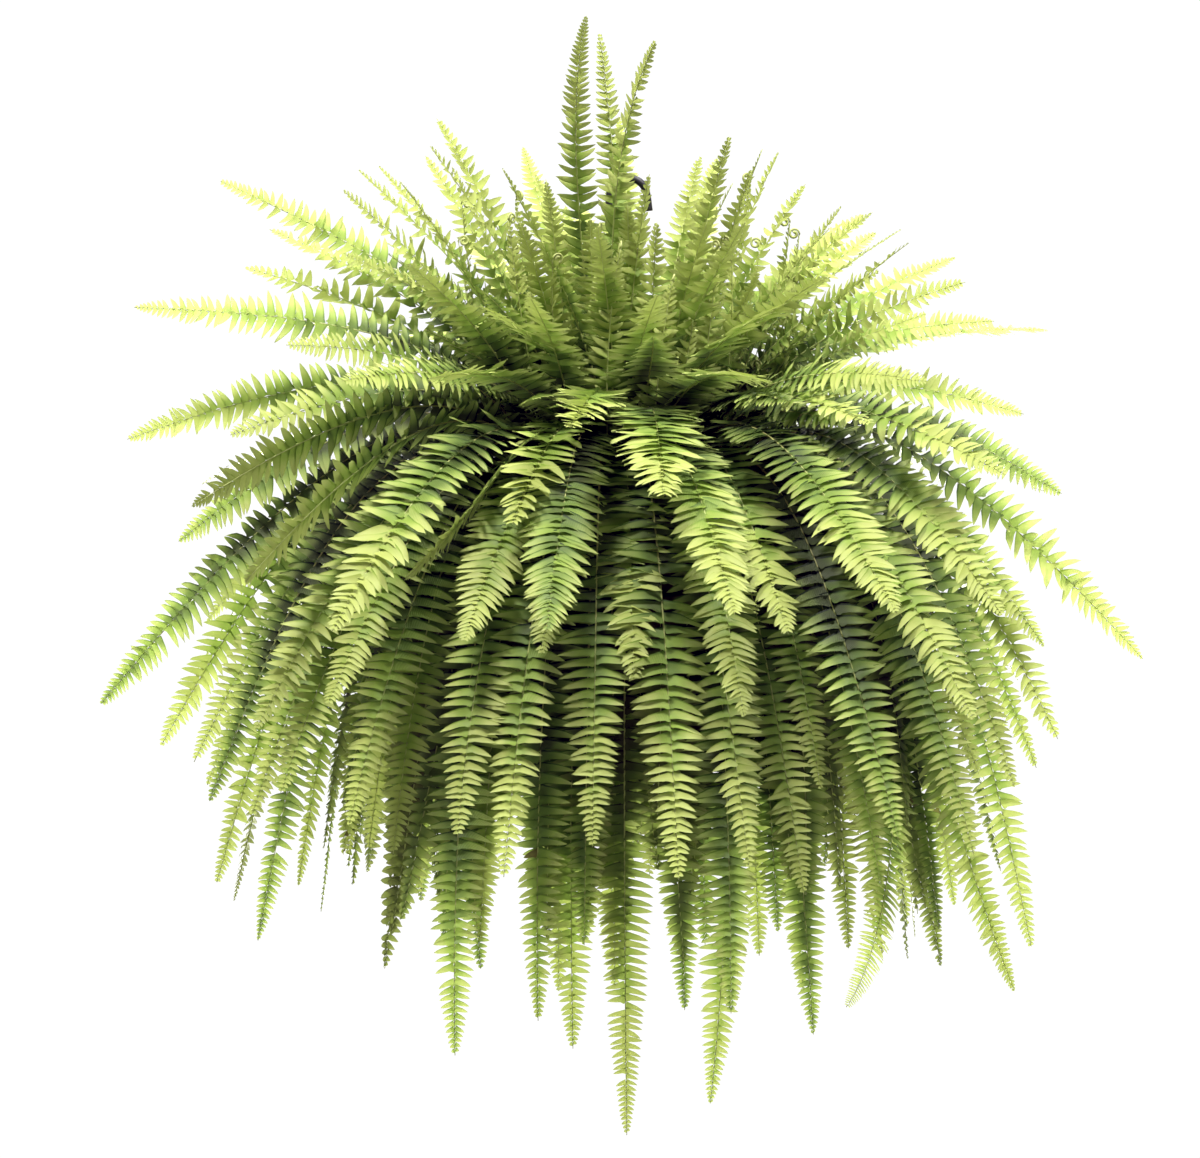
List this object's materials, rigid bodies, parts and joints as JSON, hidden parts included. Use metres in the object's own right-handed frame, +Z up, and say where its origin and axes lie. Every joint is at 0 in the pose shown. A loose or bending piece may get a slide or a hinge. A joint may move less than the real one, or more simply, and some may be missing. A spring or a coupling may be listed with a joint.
{
  "type": "hanging potted fern",
  "caption": "Sword fern in a round plastic hanging basket with hook, hub and strands: long feathery fronds arch up, out and down on every side and hide the pot.",
  "frame": {"origin": "the point under the arch of the hook that bears on what the basket hangs from", "axes": "+Z up, +X to the right as seen from the front, -Y towards the viewer"},
  "size_m": [0.8307, 0.7684, 0.8273],
  "materials": {
    "frond": "thin green leaflets, yellow-green where young and at the tips, dark green inside the plant",
    "pot_plastic": "satin moulded plastic, very dark green",
    "hanger_plastic": "satin moulded plastic, black",
    "potting_soil": "loose dark brown potting mix"
  },
  "bodies": {
    "root": {"fronds_01": "frond", "fronds_02": "frond", "fronds_03": "frond", "fronds_04": "frond", "fronds_05": "frond", "fronds_06": "frond", "fronds_07": "frond", "fronds_08": "frond", "fronds_09": "frond", "fronds_10": "frond", "fronds_11": "frond", "fronds_12": "frond", "fronds_13": "frond", "fronds_14": "frond", "fronds_15": "frond", "fronds_16": "frond", "fronds_17": "frond", "fronds_18": "frond", "fronds_19": "frond", "fronds_20": "frond", "fronds_21": "frond", "fronds_22": "frond", "fronds_23": "frond", "fronds_24": "frond", "fronds_25": "frond", "fronds_26": "frond", "fronds_27": "frond", "fronds_28": "frond", "fronds_29": "frond", "fronds_30": "frond", "fronds_31": "frond", "fronds_32": "frond", "fronds_33": "frond", "fronds_34": "frond", "fronds_35": "frond", "fronds_36": "frond", "fronds_37": "frond", "fronds_38": "frond", "fronds_39": "frond", "fronds_40": "frond", "fronds_41": "frond", "fronds_42": "frond", "fronds_43": "frond", "fronds_44": "frond", "fronds_45": "frond", "fronds_46": "frond", "fronds_47": "frond", "fronds_48": "frond", "fronds_49": "frond", "fronds_50": "frond", "hook": "hanger_plastic", "pot": "pot_plastic", "soil": "potting_soil", "strand_1": "hanger_plastic", "strand_2": "hanger_plastic", "strand_3": "hanger_plastic"}
  },
  "joints": []
}
